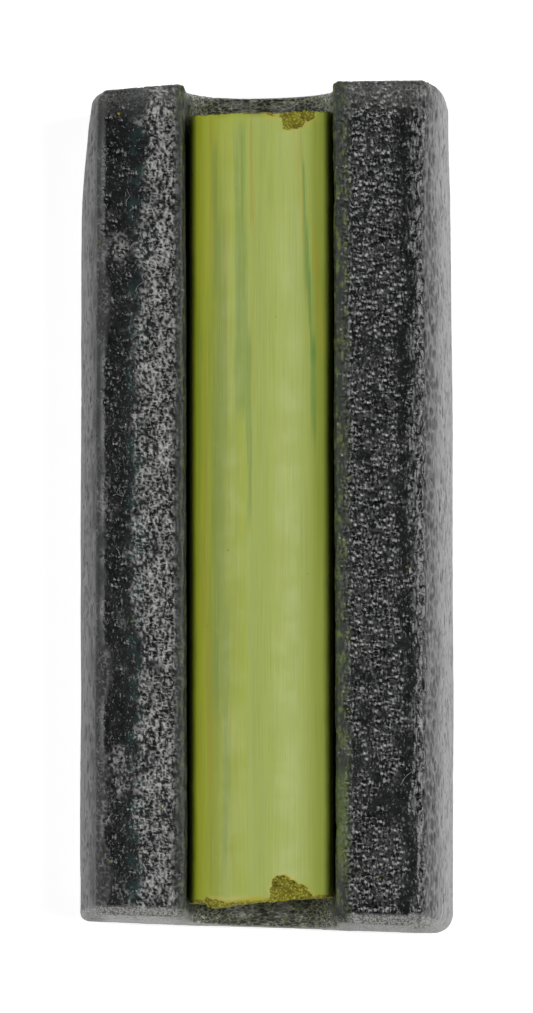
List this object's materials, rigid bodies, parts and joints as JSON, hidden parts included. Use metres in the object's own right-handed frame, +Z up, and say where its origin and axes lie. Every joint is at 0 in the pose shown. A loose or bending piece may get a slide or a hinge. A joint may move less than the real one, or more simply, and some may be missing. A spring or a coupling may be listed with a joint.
{
  "type": "honing compound stick in a foam holder",
  "caption": "Black foam block with sloping sides and an open-ended U-shaped groove along its top, holding a round green honing compound stick that slides out lengthwise.",
  "frame": {"origin": "centre of the foam block's underside", "axes": "+Y runs along the groove and the stick, which is the longest way, +X across the block, and +Z up out of the groove's mouth, which is the shortest way"},
  "size_m": [0.0648, 0.1444, 0.0343],
  "materials": {
    "foam": "satin",
    "compound": "matte"
  },
  "bodies": {
    "holder": {"foam_block": "foam"},
    "stick": {"compound_stick": "compound"}
  },
  "joints": [
    {"name": "stick_slide", "type": "slide", "parent": "holder", "child": "stick", "axis": [0, 1, 0], "range_m": [-0.145, 0.145]}
  ]
}
